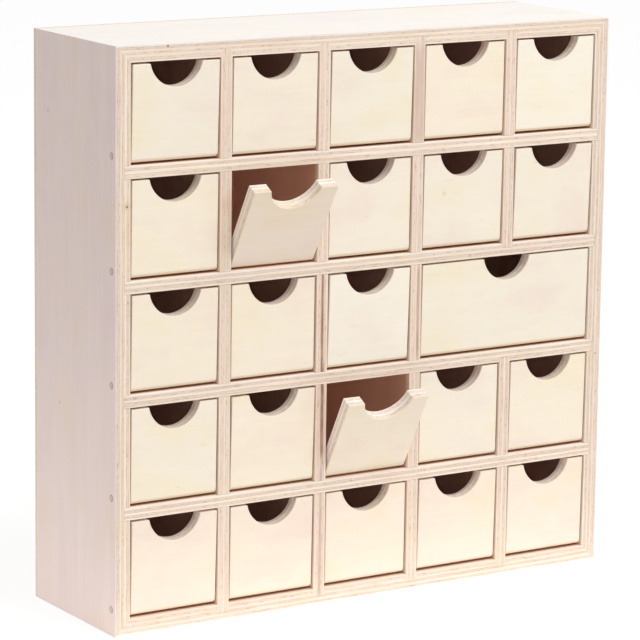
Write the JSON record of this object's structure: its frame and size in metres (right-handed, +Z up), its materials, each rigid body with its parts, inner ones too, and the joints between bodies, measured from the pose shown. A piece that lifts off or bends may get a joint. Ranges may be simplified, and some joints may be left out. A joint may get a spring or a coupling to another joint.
{
  "type": "wooden advent calendar",
  "caption": "Square plywood case with a lattice of compartments, each closed by a tilt-out flap that turns on a dowel and has a round finger notch.",
  "frame": {"origin": "middle of the face that the case stands on, half-way between the front edges and the back panel's rear face", "axes": "+X to the right seen from the front, +Y from the front to the back, +Z up"},
  "size_m": [0.32, 0.1153, 0.32],
  "materials": {
    "case_plywood": "raw sanded birch-like plywood, mitred, with a faint pinkish grain",
    "lattice_plywood": "raw plywood with its plies showing on the front edges",
    "flap_plywood": "raw sanded plywood with a smooth cream face and open plies at the edges",
    "dowel": "raw turned dowel, end grain showing at the sides",
    "back_board": "raw 3 mm plywood, laid on the rear edges and nailed",
    "nail_steel": "bright wire nail heads driven flush"
  },
  "bodies": {
    "case": {"left_side": "case_plywood", "right_side": "case_plywood", "top_panel": "case_plywood", "bottom_panel": "case_plywood", "back_panel": "back_board", "shelf_1": "lattice_plywood", "shelf_2": "lattice_plywood", "shelf_3": "lattice_plywood", "shelf_4": "lattice_plywood", "divider_1": "lattice_plywood", "divider_2": "lattice_plywood", "divider_3": "lattice_plywood", "divider_4_upper": "lattice_plywood", "divider_4_lower": "lattice_plywood", "pivot_rod_1": "dowel", "pivot_rod_2": "dowel", "pivot_rod_3": "dowel", "pivot_rod_4": "dowel", "pivot_rod_5": "dowel", "back_nails": "nail_steel"},
    "flap_r1_c1": {"flap_r1_c1": "flap_plywood"},
    "flap_r1_c2": {"flap_r1_c2": "flap_plywood"},
    "flap_r1_c3": {"flap_r1_c3": "flap_plywood"},
    "flap_r1_c4": {"flap_r1_c4": "flap_plywood"},
    "flap_r1_c5": {"flap_r1_c5": "flap_plywood"},
    "flap_r2_c1": {"flap_r2_c1": "flap_plywood"},
    "flap_r2_c2": {"flap_r2_c2": "flap_plywood"},
    "flap_r2_c3": {"flap_r2_c3": "flap_plywood"},
    "flap_r2_c4": {"flap_r2_c4": "flap_plywood"},
    "flap_r2_c5": {"flap_r2_c5": "flap_plywood"},
    "flap_r3_c1": {"flap_r3_c1": "flap_plywood"},
    "flap_r3_c2": {"flap_r3_c2": "flap_plywood"},
    "flap_r3_c3": {"flap_r3_c3": "flap_plywood"},
    "flap_r3_wide": {"flap_r3_wide": "flap_plywood"},
    "flap_r4_c1": {"flap_r4_c1": "flap_plywood"},
    "flap_r4_c2": {"flap_r4_c2": "flap_plywood"},
    "flap_r4_c3": {"flap_r4_c3": "flap_plywood"},
    "flap_r4_c4": {"flap_r4_c4": "flap_plywood"},
    "flap_r4_c5": {"flap_r4_c5": "flap_plywood"},
    "flap_r5_c1": {"flap_r5_c1": "flap_plywood"},
    "flap_r5_c2": {"flap_r5_c2": "flap_plywood"},
    "flap_r5_c3": {"flap_r5_c3": "flap_plywood"},
    "flap_r5_c4": {"flap_r5_c4": "flap_plywood"},
    "flap_r5_c5": {"flap_r5_c5": "flap_plywood"}
  },
  "joints": [
    {"name": "flap_r1_c1_hinge", "type": "hinge", "parent": "case", "child": "flap_r1_c1", "pos_m": [-0.1236, -0.042, 0.2617], "axis": [1, 0, 0], "range_deg": [-2, 106]},
    {"name": "flap_r1_c2_hinge", "type": "hinge", "parent": "case", "child": "flap_r1_c2", "pos_m": [-0.0618, -0.042, 0.2617], "axis": [1, 0, 0], "range_deg": [-1, 107]},
    {"name": "flap_r1_c3_hinge", "type": "hinge", "parent": "case", "child": "flap_r1_c3", "pos_m": [0, -0.042, 0.2617], "axis": [1, 0, 0], "range_deg": [-1.5, 106.5]},
    {"name": "flap_r1_c4_hinge", "type": "hinge", "parent": "case", "child": "flap_r1_c4", "pos_m": [0.0618, -0.042, 0.2617], "axis": [1, 0, 0], "range_deg": [-0.5, 107.5]},
    {"name": "flap_r1_c5_hinge", "type": "hinge", "parent": "case", "child": "flap_r1_c5", "pos_m": [0.1236, -0.042, 0.2617], "axis": [1, 0, 0], "range_deg": [-1, 107]},
    {"name": "flap_r2_c1_hinge", "type": "hinge", "parent": "case", "child": "flap_r2_c1", "pos_m": [-0.1236, -0.042, 0.1999], "axis": [1, 0, 0], "range_deg": [-1, 107]},
    {"name": "flap_r2_c2_hinge", "type": "hinge", "parent": "case", "child": "flap_r2_c2", "pos_m": [-0.0618, -0.042, 0.1999], "axis": [1, 0, 0], "range_deg": [-29.5, 78.5]},
    {"name": "flap_r2_c3_hinge", "type": "hinge", "parent": "case", "child": "flap_r2_c3", "pos_m": [0, -0.042, 0.1999], "axis": [1, 0, 0], "range_deg": [-0.5, 107.5]},
    {"name": "flap_r2_c4_hinge", "type": "hinge", "parent": "case", "child": "flap_r2_c4", "pos_m": [0.0618, -0.042, 0.1999], "axis": [1, 0, 0], "range_deg": [-1, 107]},
    {"name": "flap_r2_c5_hinge", "type": "hinge", "parent": "case", "child": "flap_r2_c5", "pos_m": [0.1236, -0.042, 0.1999], "axis": [1, 0, 0], "range_deg": [-2, 106]},
    {"name": "flap_r3_c1_hinge", "type": "hinge", "parent": "case", "child": "flap_r3_c1", "pos_m": [-0.1236, -0.042, 0.1381], "axis": [1, 0, 0], "range_deg": [-1.5, 106.5]},
    {"name": "flap_r3_c2_hinge", "type": "hinge", "parent": "case", "child": "flap_r3_c2", "pos_m": [-0.0618, -0.042, 0.1381], "axis": [1, 0, 0], "range_deg": [-0.5, 107.5]},
    {"name": "flap_r3_c3_hinge", "type": "hinge", "parent": "case", "child": "flap_r3_c3", "pos_m": [0, -0.042, 0.1381], "axis": [1, 0, 0], "range_deg": [-2, 106]},
    {"name": "flap_r3_wide_hinge", "type": "hinge", "parent": "case", "child": "flap_r3_wide", "pos_m": [0.0927, -0.042, 0.1381], "axis": [1, 0, 0], "range_deg": [-1, 107]},
    {"name": "flap_r4_c1_hinge", "type": "hinge", "parent": "case", "child": "flap_r4_c1", "pos_m": [-0.1236, -0.042, 0.0763], "axis": [1, 0, 0], "range_deg": [-1, 107]},
    {"name": "flap_r4_c2_hinge", "type": "hinge", "parent": "case", "child": "flap_r4_c2", "pos_m": [-0.0618, -0.042, 0.0763], "axis": [1, 0, 0], "range_deg": [-2, 106]},
    {"name": "flap_r4_c3_hinge", "type": "hinge", "parent": "case", "child": "flap_r4_c3", "pos_m": [0, -0.042, 0.0763], "axis": [1, 0, 0], "range_deg": [-28.5, 79.5]},
    {"name": "flap_r4_c4_hinge", "type": "hinge", "parent": "case", "child": "flap_r4_c4", "pos_m": [0.0618, -0.042, 0.0763], "axis": [1, 0, 0], "range_deg": [-0.5, 107.5]},
    {"name": "flap_r4_c5_hinge", "type": "hinge", "parent": "case", "child": "flap_r4_c5", "pos_m": [0.1236, -0.042, 0.0763], "axis": [1, 0, 0], "range_deg": [-1, 107]},
    {"name": "flap_r5_c1_hinge", "type": "hinge", "parent": "case", "child": "flap_r5_c1", "pos_m": [-0.1236, -0.042, 0.0145], "axis": [1, 0, 0], "range_deg": [-2, 100]},
    {"name": "flap_r5_c2_hinge", "type": "hinge", "parent": "case", "child": "flap_r5_c2", "pos_m": [-0.0618, -0.042, 0.0145], "axis": [1, 0, 0], "range_deg": [-1, 101]},
    {"name": "flap_r5_c3_hinge", "type": "hinge", "parent": "case", "child": "flap_r5_c3", "pos_m": [0, -0.042, 0.0145], "axis": [1, 0, 0], "range_deg": [-0.5, 101.5]},
    {"name": "flap_r5_c4_hinge", "type": "hinge", "parent": "case", "child": "flap_r5_c4", "pos_m": [0.0618, -0.042, 0.0145], "axis": [1, 0, 0], "range_deg": [-1.5, 100.5]},
    {"name": "flap_r5_c5_hinge", "type": "hinge", "parent": "case", "child": "flap_r5_c5", "pos_m": [0.1236, -0.042, 0.0145], "axis": [1, 0, 0], "range_deg": [-1, 101]}
  ]
}
